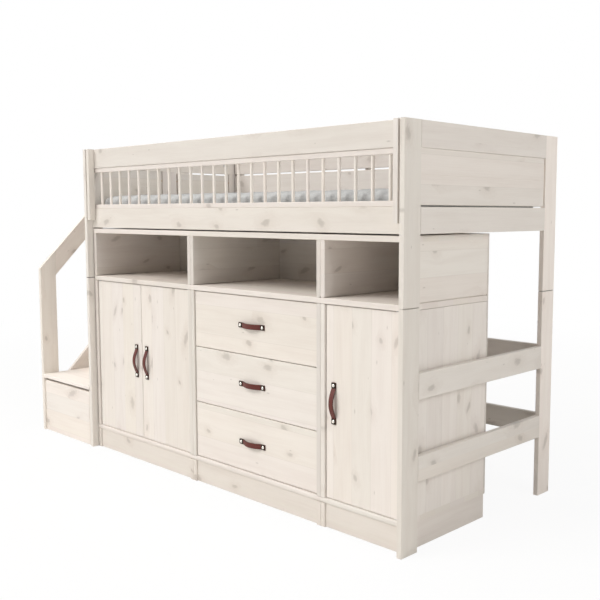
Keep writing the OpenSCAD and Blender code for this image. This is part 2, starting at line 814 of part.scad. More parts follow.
module drawer_runners() {
    w = box_gap + groove_d - 2 * slip;
    color(raw_pine) place()
        for (i = [0 : drawer_n - 1], x = [box_x - box_gap, box_x + box_w + box_gap - w])
            translate([x, runner_y, drawer_z(i) + box_up + groove_up])
                cube([w, runner_l, runner_h]);
}

// Handles: a strap that lies flat at its two ends and bows out between its screws
strap_steps = 20;
strap_reach = screw_pitch / 2 - strap_flat;
function strap_rise(s) = abs(s) < strap_reach ? strap_bow * cos(90 * s / strap_reach) : 0;
module strap_outline() {
    xs = [for (k = [-strap_steps : strap_steps]) strap_reach * k / strap_steps];
    inner = [for (s = xs) [s, strap_rise(s)]];
    outer = [for (k = [len(xs) - 1 : -1 : 0]) [xs[k], strap_rise(xs[k]) + strap_t]];
    end = strap_l / 2;
    polygon(concat([[-end, 0]], inner, [[end, 0], [end, strap_t]], outer, [[-end, strap_t]]));
}
module strap(upright) {
    rotate([0, upright ? 90 : 0, 0]) rotate([0, 0, 180]) translate([0, 0, -strap_w / 2])
        linear_extrude(strap_w) strap_outline();
}
module door_handle(i) {
    color(leather) place() translate([handle_x(i), front_y, handle_z]) strap(true);
}
module drawer_handle(i) {
    color(leather) place()
        translate([drawer_x + drawer_w / 2, front_y, drawer_z(i) + drawer_h / 2]) strap(false);
}

// Fastenings
module dowels() {
    color(raw_pine) place() dowel_set(all_dowels);
}
module rail_connectors() {
    color(steel) place() connector_set(all_connectors);
}

post(0, 0);  // post_front_left
post(1, 0);  // post_front_right
post(0, 1);  // post_rear_left
post(1, 1);  // post_rear_right
side_rail(0);  // side_rail_front
side_rail(1);  // side_rail_rear
end_rail(0);  // end_rail_left
end_rail(1);  // end_rail_right
lower_rails_ends();
lower_rails_rear();
end_top_rails();
end_panel_right();
end_panels_left();
end_upright_left();
rear_guard_boards();
rear_guard_stiles();
guard_top_board();
guard_strips();
guard_bars();
guard_stiles();
slat_bearers();
slats();
mattress();
stair_front_post();
stair_rear_post();
stair_handrail();
stair_top_rail();
stair_lower_rail();
stair_sides_outer();
stair_sides_inner();
stair_treads();
stair_risers();
cabinet_sides(0);  // cabinet_left_sides
cabinet_boards(0);  // cabinet_left_boards
cabinet_sides(1);  // cabinet_middle_sides
cabinet_boards(1);  // cabinet_middle_boards
cabinet_sides(2);  // cabinet_right_sides
cabinet_boards(2);  // cabinet_right_boards
plinths();
cabinet_backs();
inner_shelves();
door(0);  // door_left
door(1);  // door_middle
door(2);  // door_right
door_handle(0);  // door_left_handle
door_handle(1);  // door_middle_handle
door_handle(2);  // door_right_handle
drawer_front(0);  // drawer_top_front
drawer_front(1);  // drawer_middle_front
drawer_front(2);  // drawer_bottom_front
drawer_box(0);  // drawer_top_box
drawer_box(1);  // drawer_middle_box
drawer_box(2);  // drawer_bottom_box
drawer_handle(0);  // drawer_top_handle
drawer_handle(1);  // drawer_middle_handle
drawer_handle(2);  // drawer_bottom_handle
door_pivots();
drawer_runners();
dowels();
rail_connectors();
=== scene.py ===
"""Loft bed of whitewashed pine.

The CAD solids keep their shapes and get their finishes here. The mattress and the leather
strap handles are made here in full, and stand for their plain solids.
"""

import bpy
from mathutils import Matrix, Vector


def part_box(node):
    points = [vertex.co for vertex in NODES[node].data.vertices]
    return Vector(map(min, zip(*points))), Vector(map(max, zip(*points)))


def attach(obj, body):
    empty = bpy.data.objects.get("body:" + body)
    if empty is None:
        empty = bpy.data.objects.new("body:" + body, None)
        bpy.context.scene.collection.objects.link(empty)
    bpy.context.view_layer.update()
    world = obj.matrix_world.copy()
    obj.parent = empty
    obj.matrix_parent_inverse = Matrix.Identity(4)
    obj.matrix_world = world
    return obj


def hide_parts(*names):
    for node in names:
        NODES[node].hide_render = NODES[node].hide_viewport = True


bl_info = {
    "name": "Loft bed",
    "version": (1, 0, 0),
    "blender": (4, 5, 0),
    "location": "View3D > Sidebar > Loft bed",
    "description": "Finishes, mattress, strap handles, stage and camera of a loft bed",
    "category": "Object",
}

import math
from functools import partial

import bpy
import numpy as np
from bpy.props import FloatProperty, FloatVectorProperty, IntProperty, PointerProperty
from bpy.types import Node, NodeSocket, Operator, Panel, PropertyGroup
from mathutils import Matrix, Vector

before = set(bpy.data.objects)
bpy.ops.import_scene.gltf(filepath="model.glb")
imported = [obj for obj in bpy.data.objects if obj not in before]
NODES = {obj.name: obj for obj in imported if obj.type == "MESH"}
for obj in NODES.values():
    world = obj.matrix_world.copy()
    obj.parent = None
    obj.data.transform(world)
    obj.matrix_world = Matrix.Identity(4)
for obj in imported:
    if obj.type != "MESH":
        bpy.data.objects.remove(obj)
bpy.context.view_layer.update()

# The bed frame's body. Doors and drawers have bodies of their own
BED = "bed"

# How a board is cut: directions of its grain and of its width. Its thickness lies across both
ALONG_BED = ((1, 0, 0), (0, 0, 1))
ALONG_BED_FLAT = ((1, 0, 0), (0, 1, 0))
UPRIGHT = ((0, 0, 1), (1, 0, 0))
UPRIGHT_SIDE = ((0, 0, 1), (0, 1, 0))
ACROSS_BED = ((0, 1, 0), (0, 0, 1))
ACROSS_BED_FLAT = ((0, 1, 0), (1, 0, 0))

# The stairs' slope, from the rise and the run of a step in metres
STAIR_SLOPE = math.atan2(0.304, 0.298)
SLOPING = (
    (0, math.cos(STAIR_SLOPE), math.sin(STAIR_SLOPE)),
    (0, -math.sin(STAIR_SLOPE), math.cos(STAIR_SLOPE)),
)

# Where a node holds boards of two cuts, the second holds above a height in metres, or on the
# faces that look along X
SHELF_LEVEL = 0.879
BY_FACE = "faces along X"
CABINET_SIDE = (UPRIGHT_SIDE, ACROSS_BED, SHELF_LEVEL)
FOUR_SIDES = (ALONG_BED, ACROSS_BED, BY_FACE)

# A face looks along an axis where its normal's share along it is above this
FACING = 0.7

# Glued-up boards have lamellas this wide, in metres, and a solid board has one as wide as
# itself. Glue lines show between lamellas that are narrower than the widest
LAMELLA = 0.094
SOLID = 0.5
WIDEST_LAMELLA = 0.2

# What the seed of the pattern grows by from node to node
SEED_STEP = 1.37

# Whitewashed nodes: how the boards are cut, their lamella, the share of places that have a
# knot, and their brightness. The brightness is partly the wood's own tone and partly painted
# light: it lifts nodes that the lamps leave dark, such as the rear right post, the treads and
# the risers, and darkens shaded ones, such as the rear guard boards and the cabinet backs.
# Each node's seed comes from its place in this list
WHITEWASHED = {
    "post_front_left": (UPRIGHT_SIDE, SOLID, 0.4, 1.0),
    "post_front_right": (UPRIGHT_SIDE, SOLID, 0.44, 0.97),
    "post_rear_left": (UPRIGHT_SIDE, SOLID, 0.4, 0.95),
    "post_rear_right": (UPRIGHT_SIDE, SOLID, 0.4, 1.17),
    "side_rail_front": (ALONG_BED, SOLID, 0.4, 0.99),
    "side_rail_rear": (ALONG_BED, SOLID, 0.4, 1.0),
    "end_rail_left": (ACROSS_BED, SOLID, 0.4, 1.0),
    "end_rail_right": (ACROSS_BED, SOLID, 0.4, 1.0),
    "lower_rails_ends": (ACROSS_BED, 0.45, 0.4, 1.0),
    "lower_rails_rear": (ALONG_BED, 0.45, 0.4, 1.0),
    "end_top_rails": (ACROSS_BED, SOLID, 0.4, 1.0),
    "end_panel_right": (ACROSS_BED, 0.104, 0.32, 1.0),
    "end_panels_left": (ACROSS_BED, 0.098, 0.32, 0.94),
    "end_upright_left": (UPRIGHT_SIDE, SOLID, 0.32, 0.94),
    "rear_guard_boards": (ALONG_BED, 0.098, 0.4, 0.83),
    "rear_guard_stiles": (UPRIGHT, SOLID, 0.0, 1.0),
    "guard_top_board": (ALONG_BED, SOLID, 0.4, 0.94),
    "guard_strips": (ALONG_BED, SOLID, 0.12, 1.0),
    "guard_bars": (UPRIGHT, 0.08, 0.0, 1.09),
    "guard_stiles": (UPRIGHT_SIDE, SOLID, 0.0, 1.0),
    "stair_front_post": (UPRIGHT_SIDE, SOLID, 0.4, 1.05),
    "stair_rear_post": (UPRIGHT_SIDE, SOLID, 0.4, 1.0),
    "stair_handrail": (SLOPING, SOLID, 0.4, 1.09),
    "stair_top_rail": (ACROSS_BED, SOLID, 0.32, 1.0),
    "stair_lower_rail": (SLOPING, SOLID, 0.4, 1.0),
    "stair_sides_outer": (UPRIGHT_SIDE, LAMELLA, 0.36, 1.0),
    "stair_sides_inner": (UPRIGHT_SIDE, LAMELLA, 0.36, 1.0),
    "stair_treads": (ALONG_BED_FLAT, LAMELLA, 0.32, 1.12),
    "stair_risers": (ALONG_BED, LAMELLA, 0.36, 1.1),
    "cabinet_left_sides": (CABINET_SIDE, LAMELLA, 0.4, 0.93),
    "cabinet_left_boards": (ALONG_BED_FLAT, LAMELLA, 0.32, 1.0),
    "cabinet_middle_sides": (CABINET_SIDE, LAMELLA, 0.4, 0.92),
    "cabinet_middle_boards": (ALONG_BED_FLAT, LAMELLA, 0.32, 1.0),
    "cabinet_right_sides": (CABINET_SIDE, LAMELLA, 0.4, 1.02),
    "cabinet_right_boards": (ALONG_BED_FLAT, LAMELLA, 0.32, 1.0),
    "plinths": (FOUR_SIDES, SOLID, 0.28, 0.96),
    "cabinet_backs": (ALONG_BED, LAMELLA, 0.4, 0.86),
    "inner_shelves": (ALONG_BED_FLAT, LAMELLA, 0.32, 1.0),
    "door_left": (UPRIGHT, LAMELLA, 0.48, 1.02),
    "door_middle": (UPRIGHT, LAMELLA, 0.48, 1.03),
    "door_right": (UPRIGHT, LAMELLA, 0.48, 1.06),
    "drawer_top_front": (ALONG_BED, 0.125, 0.36, 1.04),
    "drawer_middle_front": (ALONG_BED, 0.125, 0.4, 1.04),
    "drawer_bottom_front": (ALONG_BED, 0.125, 0.36, 1.04),
}

# Nodes of bare pine, in the same way
BARE = {
    "slat_bearers": (ALONG_BED, SOLID, 0.2, 1.0),
    "slats": (ACROSS_BED_FLAT, 0.142, 0.35, 1.0),
    "drawer_top_box": (FOUR_SIDES, SOLID, 0.3, 1.0),
    "drawer_middle_box": (FOUR_SIDES, SOLID, 0.3, 1.0),
    "drawer_bottom_box": (FOUR_SIDES, SOLID, 0.3, 1.0),
    "drawer_runners": (ACROSS_BED, SOLID, 0.0, 1.0),
    "dowels": (ALONG_BED, SOLID, 0.0, 1.0),
}

# The groove where the two halves of a post meet: its height and reach up and down in metres,
# and the shade painted into it: its dark colour, and how strong it is on each post, strongest
# where the lamps darken the groove least
SEAM_LEVEL = 0.881
SEAM_REACH = 0.0018
PAINTED_SHADE_COLOUR_IN_SEAM = "#38302c"
PAINTED_SHADE_IN_SEAM = {"post_front_left": 0.9, "post_front_right": 0.2, "post_rear_right": 0.6}

# Handles: the node of each, its body, and whether its strap stands upright
HANDLES = {
    "door_left_handle": ("door_left", True),
    "door_middle_handle": ("door_middle", True),
    "door_right_handle": ("door_right", True),
    "drawer_top_handle": ("drawer_top", False),
    "drawer_middle_handle": ("drawer_middle", False),
    "drawer_bottom_handle": ("drawer_bottom", False),
}

# In metres: the strap's gap to the front and the plate's to the strap, the plate's thickness,
# the screw's gap to the plate, and the height of its head
SEAT = 0.0002
PLATE_THICKNESS = 0.0014
SCREW_SEAT = 0.0001
SCREW_HEIGHT = 0.0026

# The mattress's lower seam over its underside, and its quilting's depth and spacing, in metres
SEAM_OVER_BASE = 0.012
QUILT_DEPTH = 0.005
QUILT_SPACING = 0.17

# Camera: place in metres, turn and tilt in degrees, shift as a share of the frame's width
CAMERA_PLACE = (3.0629, -2.7203, 1.2079)
CAMERA_TURN = 44.05
CAMERA_TILT = 5.674
CAMERA_SHIFT = (-0.0438, -0.0065)

# Lamps: side of the square, place, and the point that each faces, in metres
LAMPS = {
    "key": (8.8, (-5.4, -11.4, 11.8), (0.1, 0, 0.6)),
    "top": (3.0, (-0.9, -0.3, 4.8), (-0.6, 0, 0.6)),
    "side": (3.6, (7.0, -0.5, 4.4), (0.6, 0, 0.7)),
}
LAMP_COLOUR = "#fffdfa"
ROOM_COLOUR = "#fffdfb"

# The floor lies just under the feet, in metres. Its paint varies between two colours
FLOOR_LEVEL = -0.0006
FLOOR_PAINT = ("#efefed", "#f3f3f2")

MERGE_DISTANCE = 1e-6
FULL_TURN = 2 * np.pi
QUARTER_TURN = np.pi / 2


def linear(colour):
    """Turns an sRGB hex colour into linear red, green and blue."""
    parts = [int(colour[i:i + 2], 16) / 255 for i in (1, 3, 5)]
    return tuple(p / 12.92 if p <= 0.04045 else ((p + 0.055) / 1.055) ** 2.4 for p in parts)


def add(tree, kind, *values, **named):
    """Adds a shader node, sets its properties and fills its inputs with values or links.

    A kind in capitals is an operation of the Math node. In other kinds a second word is the
    operation, or what a Mix node mixes. Values fill the inputs in their order, or by number or
    name where they come as one dictionary. A named value is an input if its name starts with a
    capital, and else a property. A node given as a value means the first output that it uses.
    """
    kind, _, choice = ("Math " + kind if kind.isupper() else kind).partition(" ")
    made = tree.nodes.new("ShaderNode" + kind)
    if choice:
        setattr(made, "data_type" if kind == "Mix" else "operation", choice)
    by_key = values and isinstance(values[0], dict)
    inputs = dict(values[0] if by_key else enumerate(values))
    for name, value in named.items():
        if name[0].isupper():
            inputs[name] = value
        else:
            setattr(made, name, value)
    for key, value in inputs.items():
        socket = made.inputs[key]
        if isinstance(value, Node):
            value = next(output for output in value.outputs if output.enabled)
        if isinstance(value, NodeSocket):
            tree.links.new(value, socket)
        else:
            socket.default_value = (*value, 1) if socket.type == "RGBA" else value
    return made


def empty_tree(owner):
    """Clears the node tree of a material or a world and returns it."""
    owner.use_nodes = True
    owner.node_tree.nodes.clear()
    return owner.node_tree


def new_material(name):
    """Starts a material. Returns it, what adds nodes to it, and the place of each point."""
    material = bpy.data.materials.new(name)
    node = partial(add, empty_tree(material))
    return material, node, node("TexCoord").outputs["Object"]


def close_material(node, inputs):
    """Ends a material with a Principled BSDF that has these inputs."""
    node("OutputMaterial", node("BsdfPrincipled", inputs))


def dress(obj, material):
    """Gives an object one material."""
    obj.data.materials.clear()
    obj.data.materials.append(material)


def read_points(obj):
    """An object's vertices as an array."""
    points = np.empty(len(obj.data.vertices) * 3)
    obj.data.vertices.foreach_get("co", points)
    return points.reshape(-1, 3)


def write_points(obj, points):
    """Puts an array back into an object's vertices."""
    obj.data.vertices.foreach_set("co", np.ascontiguousarray(points).ravel())
    obj.data.update()


def surface(points, close_u=False, close_v=False):
    """Vertices and faces of a grid of points (u, v, xyz), joined round in u or v where asked."""
    nu, nv = points.shape[:2]
    index = np.arange(nu * nv).reshape(nu, nv)
    if close_u:
        index = np.concatenate([index, index[:1]], axis=0)
    if close_v:
        index = np.concatenate([index, index[:, :1]], axis=1)
    faces = np.stack([index[:-1, :-1], index[1:, :-1], index[1:, 1:], index[:-1, 1:]], axis=-1)
    return points.reshape(-1, 3), faces.reshape(-1, 4)


def new_object(name, mesh):
    """Puts a mesh into the scene as the active object."""
    obj = bpy.data.objects.new(name, mesh)
    bpy.context.scene.collection.objects.link(obj)
    bpy.ops.object.select_all(action="DESELECT")
    obj.select_set(True)
    bpy.context.view_layer.objects.active = obj
    return obj


def merge_doubles(outwards):
    """Merges the active object's doubled vertices, and turns its faces outwards where asked."""
    bpy.ops.object.mode_set(mode="EDIT")
    bpy.ops.mesh.select_all(action="SELECT")
    bpy.ops.mesh.remove_doubles(threshold=MERGE_DISTANCE)
    if outwards:
        bpy.ops.mesh.normals_make_consistent(inside=False)
    bpy.ops.object.mode_set(mode="OBJECT")


def mesh_object(name, parts, smooth=True):
    """Makes one object of several (vertices, faces) parts, closed and with faces outwards."""
    starts = np.cumsum([0] + [len(points) for points, _ in parts])
    vertices = np.concatenate([points for points, _ in parts])
    faces = np.concatenate([quads + start for (_, quads), start in zip(parts, starts)])
    mesh = bpy.data.meshes.new(name)
    mesh.from_pydata(vertices.tolist(), [], faces.tolist())
    obj = new_object(name, mesh)
    merge_doubles(outwards=True)
    mesh.shade_smooth() if smooth else mesh.shade_flat()
    return obj


def squared(wave, exponent):
    """A sine or cosine raised to a small exponent, which draws a circle towards a square."""
    return np.sign(wave) * np.abs(wave) ** exponent


def pine_group():
    """Makes the node group of pine, which works in metres along, across and through a board.

    Each lamella has its own white noise, which moves its pattern and tints it. Knots are the
    nearest points of a stretched Voronoi pattern, and the grain flows round each as water
    flows round a post. Grain is noise stretched along the board, and growth rings are waves of
    its flow lines.
    """
    group = bpy.data.node_groups.new("Pine", "ShaderNodeTree")
    for way, kind, names in (
        ("INPUT", "Float", "Along Across Depth End Lamella Seed Knots Grain Tone"),
        ("INPUT", "Color", "Light Dark Knot"),
        ("OUTPUT", "Color", "Color"),
        ("OUTPUT", "Float", "Roughness Height"),
    ):
        for name in names.split():
            group.interface.new_socket(name, in_out=way, socket_type="NodeSocket" + kind)
    given = group.nodes.new("NodeGroupInput").outputs
    node = partial(add, group)
    soft = {"interpolation_type": "SMOOTHSTEP"}

    def spread(chance, span, middle):
        """Turns a chance from 0 to 1 into a value spread over a span round a middle."""
        return node("MULTIPLY_ADD", node("SUBTRACT", chance, 0.5), span, middle)

    def nearest(length, width, randomness):
        """How far a point is ahead of and beside the nearest mark, and the mark's chances."""
        where = node("CombineXYZ", node("DIVIDE", along, length), node("DIVIDE", across, width))
        cell = node(
            "TexVoronoi", voronoi_dimensions="2D", Vector=where, Scale=1.0, Randomness=randomness,
        )
        place = node("SeparateXYZ", cell.outputs["Position"]).outputs
        luck = node("SeparateColor", cell.outputs["Color"]).outputs
        ahead = node("MULTIPLY_ADD", place[0], -length, along)
        aside = node("MULTIPLY_ADD", place[1], -width, across)
        return ahead, aside, luck

    def stretched(per_along, per_flow, per_depth, detail, roughness=0.5):
        """Noise that follows the grain, with this many marks to a metre in each direction."""
        where = node(
            "CombineXYZ", node("MULTIPLY", along, per_along),
            node("MULTIPLY", flow, per_flow), node("MULTIPLY", given["Depth"], per_depth),
        )
        return node("TexNoise", Vector=where, Scale=1.0, Detail=detail, Roughness=roughness)

    # Lamella by lamella: white noise of its number, its layer and the board's seed
    count = node("ADD", node("DIVIDE", given["Across"], given["Lamella"]), given["Seed"])
    middle = node("ABSOLUTE", node("SUBTRACT", node("FRACT", count), 0.5))
    from_edge = node("MULTIPLY", node("SUBTRACT", 0.5, middle), given["Lamella"])
    glue_line = node(
        "MULTIPLY", node("LESS_THAN", given["Lamella"], WIDEST_LAMELLA),
        node("MapRange", from_edge, 0.0016, 0.0003, **soft),
    )
    layer = node("FLOOR", node("MULTIPLY", node("ADD", given["Depth"], 0.07), 4.0))
    noise = node(
        "TexWhiteNoise", noise_dimensions="3D",
        Vector=node("CombineXYZ", node("FLOOR", count), layer, given["Seed"]),
    )
    chance = node("SeparateColor", noise.outputs["Color"]).outputs
    along = node("MULTIPLY_ADD", chance[0], 9.0, given["Along"])
    across = node("MULTIPLY_ADD", chance[1], 3.0, given["Across"])

    # Knots lie 280 mm apart along the grain and 90 mm across it, where the chance allows one.
    # Each leans, has a radius of 7.5 to 16.5 mm, and is up to three times as long as it is wide
    ahead, aside, luck = nearest(0.28, 0.09, 0.85)
    lean = node("MULTIPLY", node("SUBTRACT", luck[2], 0.5), 0.9)
    leaning = node("ADD", aside, node("MULTIPLY", ahead, lean))
    slim = node("MULTIPLY_ADD", luck[2], 0.4, 0.35)
    square = node("ADD", node("POWER", node("MULTIPLY", ahead, slim), 2.0),
                  node("POWER", leaning, 2.0))
    ragged = node("TexNoise", Scale=1.0, Detail=2.0, Vector=node(
        "CombineXYZ", node("MULTIPLY", along, 55.0), node("MULTIPLY", across, 90.0), 1.3))
    distance = node("MULTIPLY", node("SQRT", square), node("MULTIPLY_ADD", ragged, 1.2, 0.4))
    there = node("LESS_THAN", luck[0], given["Knots"])
    radius = node("MULTIPLY_ADD", node("POWER", luck[1], 1.5), 0.009, 0.0075)

    # Flow lines are pushed aside by each knot, out to 2.2 times its radius
    reach = node("MULTIPLY", node("MULTIPLY", radius, 2.2), there)
    reach_square = node("POWER", reach, 2.0)
    spacing = node("ADD", node("MULTIPLY_ADD", reach_square, 0.3, square), 1e-7)
    parting = node("DIVIDE", reach_square, spacing)
    flow = node("SUBTRACT", across, node("MULTIPLY", aside, parting))

    # Grain: soft streaks about 20 mm wide, fibres of about 3 mm, drawn coarser than real ones
    # so that they show, and growth rings 5 to 9 mm apart
    streak = stretched(2.4, 32.0, 30.0, 4.0, 0.6)
    fibre = stretched(7.0, 330.0, 330.0, 2.0, 0.6)
    wander = stretched(1.1, 9.0, 14.0, 1.0)
    turns = node("ADD", node("MULTIPLY", flow, 130.0), node("MULTIPLY", wander, 7.0))
    wave = node("SINE", node("MULTIPLY", turns, FULL_TURN))
    ring = node("POWER", node("MULTIPLY_ADD", wave, 0.5, 0.5), 3.0)

    # Knots: a core, a darker rim, and round them a halo of darker grain
    share = node("DIVIDE", distance, radius)
    core = node("MULTIPLY", there, node("MapRange", share, 1.35, 0.45, **soft))
    rim = node("MULTIPLY", core, node("MapRange", share, 0.3, 0.9, **soft))
    halo = node("MULTIPLY", there, node("MapRange", share, 3.8, 0.9, **soft))

    # Pin knots and short dark flecks of resin, 2 to 5 mm in radius and 120 by 60 mm apart
    pin_ahead, pin_aside, pin_luck = nearest(0.12, 0.06, 1.0)
    pin_ahead = node("MULTIPLY", pin_ahead, 0.33)
    pin_square = node("ADD", node("POWER", pin_ahead, 2.0), node("POWER", pin_aside, 2.0))
    pin_far = node("SQRT", pin_square)
    pin_there = node("LESS_THAN", pin_luck[0], node("MULTIPLY", given["Knots"], 0.35))
    pin_radius = node("MULTIPLY_ADD", pin_luck[1], 0.003, 0.002)
    pin_mark = node("MULTIPLY", pin_there, node("MapRange", pin_far, pin_radius, 0.0, **soft))

    # Colour of the long faces: each mark is laid over those before it, by its share
    base = given["Light"]
    for mark, strength, colour in (
        (node("MapRange", streak, 0.36, 0.76, **soft), 0.55, given["Dark"]),
        (ring, node("MULTIPLY", given["Grain"], 0.35), given["Dark"]),
        (halo, 0.65, given["Dark"]),
        (core, 0.42, given["Knot"]),
        (pin_mark, 0.45, given["Knot"]),
        (glue_line, 0.13, given["Knot"]),
    ):
        factor = node("MULTIPLY", mark, strength)
        base = node("Mix RGBA", {0: factor, 6: base, 7: colour})

    # Colour of the ends, which soak up more of the wash: pores, and arcs of growth rings
    across_ends = node("MULTIPLY", given["Across"], 260.0)
    pores = node("TexNoise", Scale=1.0, Detail=2.0, Vector=node(
        "CombineXYZ", across_ends, node("MULTIPLY", given["Depth"], 260.0), given["Seed"]))
    arc_turns = node("ADD", node("MULTIPLY", given["Depth"], 1400.0), across_ends)
    arcs = node("MULTIPLY_ADD", node("SINE", arc_turns), 0.5, 0.5)
    end_share = node("MULTIPLY_ADD", arcs, 0.45, node("MULTIPLY", pores, 0.5))
    end = node("Mix RGBA", {0: end_share, 6: given["Light"], 7: given["Dark"]})
    base = node("Mix RGBA", {0: given["End"], 6: base, 7: end})

    # Tint by lamella and fibre, and by the node's brightness, which is partly its tone and partly
    # painted light
    level = node("MULTIPLY", spread(chance[2], 0.055, given["Tone"]), spread(fibre, 0.04, 1.0))
    tinted = node(
        "HueSaturation", Hue=spread(chance[1], 0.022, 0.49),
        Saturation=spread(chance[0], 0.25, 1.0), Value=level, Color=base,
    )

    rough = node("SUBTRACT", node("MULTIPLY_ADD", streak, 0.16, 0.44),
                 node("MULTIPLY", core, 0.1))
    relief = node("ADD", node("MULTIPLY", fibre, 0.5), node("MULTIPLY", ring, 0.35))
    height = node("SUBTRACT", relief, node("MULTIPLY", rim, 0.6))
    result = group.nodes.new("NodeGroupOutput").inputs
    for name, value in (("Color", tinted), ("Roughness", rough), ("Height", height)):
        group.links.new(value.outputs[0], result[name])
    return group


def pine_material(name, group, seed, facts, finish, seam_painted_shade):
    """Pine, cut along one direction or two, planed and matt: satin, with its grain just felt."""
    # The last fact is the node's brightness: partly its wood's tone and partly painted light and
    # shade
    cut, lamella, knots, tone_and_light = facts
    first, second, parting = cut if len(cut) == 3 else (cut, None, None)
    material, node, place = new_material(name)
    normal = node("TexCoord").outputs["Normal"]
    if parting == BY_FACE:
        facing = node("SeparateXYZ", normal).outputs[0]
        mask = node("GREATER_THAN", node("ABSOLUTE", facing), FACING)
    elif second:
        level = node("SeparateXYZ", place).outputs[2]
        mask = node("GREATER_THAN", level, parting)

    def direction(k):
        """The direction of the grain (0) or of the width (1) at each point."""
        one = node("CombineXYZ", *first[k])
        if not second:
            return one
        two = node("CombineXYZ", *second[k])
        return node("Mix VECTOR", {0: mask, 4: one, 5: two})

    grain_way = direction(0)
    width_way = direction(1)
    thick_way = node("VectorMath CROSS_PRODUCT", grain_way, width_way)
    along, across, depth, to_end = (
        node("VectorMath DOT_PRODUCT", *pair)
        for pair in ((place, grain_way), (place, width_way), (place, thick_way),
                     (normal, grain_way))
    )
    wood = node(
        "Group", node_tree=group, Along=along, Across=across, Depth=depth,
        End=node("GREATER_THAN", node("ABSOLUTE", to_end), FACING),
        Lamella=lamella, Seed=seed, Knots=knots, Grain=finish.grain, Tone=tone_and_light,
        Light=finish.light, Dark=finish.dark, Knot=finish.knot,
    )
    colour = wood.outputs["Color"]
    # Painted shade: the band of a post's seam groove is darkened towards a dark colour, by the
    # post's strength
    if seam_painted_shade:
        height = node("SeparateXYZ", place).outputs[2]
        share = node("MULTIPLY", node("COMPARE", height, SEAM_LEVEL, SEAM_REACH), seam_painted_shade)
        colour = node("Mix RGBA", {0: share, 6: colour, 7: linear(PAINTED_SHADE_COLOUR_IN_SEAM)})
    close_material(node, {
        "Base Color": colour, "Roughness": wood.outputs["Roughness"],
        "Normal": node("Bump", Strength=0.35, Distance=0.0006, Height=wood.outputs["Height"]),
        "IOR": 1.48, "Specular IOR Level": 0.4,
    })
    return material


def metal(name, colour, limits, texture, **marks):
    """A metal of one colour. The marks of a texture vary its roughness between the limits."""
    material, node, place = new_material(name)
    rough = node("MapRange", node(texture, Vector=place, **marks), *limits)
    close_material(node, {"Metallic": 1.0, "Base Color": colour, "Roughness": rough})
    return material


def strap_leather(finish):
    """Vegetable-tanned cowhide, waxed: fine pebbled grain, darker along its burnished edges.

    The strap's own attribute, edge, is 1 at its long edges and 0 over its face.
    """
    material, node, place = new_material("waxed_leather")
    # Pebbles of leather are 0.5 mm, drawn here at 1.5 mm so that they show
    pebble = node("TexVoronoi", Vector=place, Scale=650.0, feature="SMOOTH_F1")
    cloud = node("TexNoise", Vector=place, Scale=60.0, Detail=4.0)
    edge = node("Attribute", attribute_name="edge").outputs["Fac"]
    colour = node("Mix RGBA", {0: cloud, 6: finish.leather_dark, 7: finish.leather})
    colour = node("Mix RGBA", {0: edge, 6: colour, 7: finish.leather_edge})
    close_material(node, {
        "Base Color": colour, "Roughness": node("MapRange", cloud, 0.3, 0.7, 0.42, 0.58),
        "Normal": node("Bump", Strength=0.3, Distance=0.0005, Height=pebble), "IOR": 1.45,
    })
    return material


def mattress_cloth(finish, piping=False):
    """Woven cotton and polyester cover, heathered: matt grey with lighter and darker threads."""
    material, node, place = new_material("mattress_piping_tape" if piping else "heathered_cloth")
    # Threads are 0.5 mm apart, drawn at 4 mm so that the weave shows from a few metres
    warp, weft, rows = (
        node("TexWave", Vector=place, Scale=78.0, Distortion=0.6, Detail=1.0,
             bands_direction=axis).outputs["Fac"]
        for axis in "XYZ"
    )
    weave = node("MULTIPLY", node("MAXIMUM", warp, weft), rows)
    # Heather of single threads about 9 mm long, and clouds about 70 mm across
    heather = node("TexNoise", Vector=place, Scale=110.0, Detail=5.0, Roughness=0.75)
    cloud = node("TexNoise", Vector=place, Scale=14.0, Detail=3.0)
    share = node("MapRange", heather, 0.3, 0.7)
    colour = node("Mix RGBA", {0: share, 6: finish.dark_thread, 7: finish.light_thread})
    if piping:
        colour = node("Mix RGBA", {0: 0.65, 6: colour, 7: finish.piping_colour})
    shade = node("MapRange", cloud, 0.3, 0.7, 0.96, 1.03)
    close_material(node, {
        "Base Color": node("HueSaturation", Value=shade, Color=colour),
        "Normal": node("Bump", Strength=0.3, Distance=0.001, Height=weave),
        "Roughness": 0.9, "Sheen Weight": 0.15, "IOR": 1.45,
    })
    return material


def colour_setting(name, description, default):
    """A colour that a user may change. Its default is an sRGB hex colour."""
    return FloatVectorProperty(
        name=name, description=description, default=linear(default), min=0, max=1,
        subtype="COLOR",
    )


def number_setting(name, description, default, low, high, unit="LENGTH", subtype="NONE"):
    """A number that a user may change: a length in metres, unless its unit is another."""
    return FloatProperty(
        name=name, description=description, default=default, min=low, max=high, unit=unit,
        subtype=subtype,
    )


class PineFinish(PropertyGroup):
    """Colours and grain of the whitewashed pine."""

    light: colour_setting("Wash", "Colour of the pale grain", "#e9e3db")
    dark: colour_setting("Streaks", "Colour of the darker grain", "#dfd7ce")
    knot: colour_setting("Knots", "Colour of the knots under the wash", "#a49c92")
    grain: number_setting(
        "Growth rings", "Strength of the growth rings", 0.16, 0, 1, "NONE", "FACTOR")


class BareFinish(PropertyGroup):
    """Colours and grain of the pine that has no wash."""

    light: colour_setting("Pale grain", "Colour of the pale grain", "#e3cfae")
    dark: colour_setting("Dark grain", "Colour of the darker grain", "#cfae7f")
    knot: colour_setting("Knots", "Colour of the knots", "#8a5c3a")
    grain: number_setting(
        "Growth rings", "Strength of the growth rings", 0.8, 0, 1, "NONE", "FACTOR")


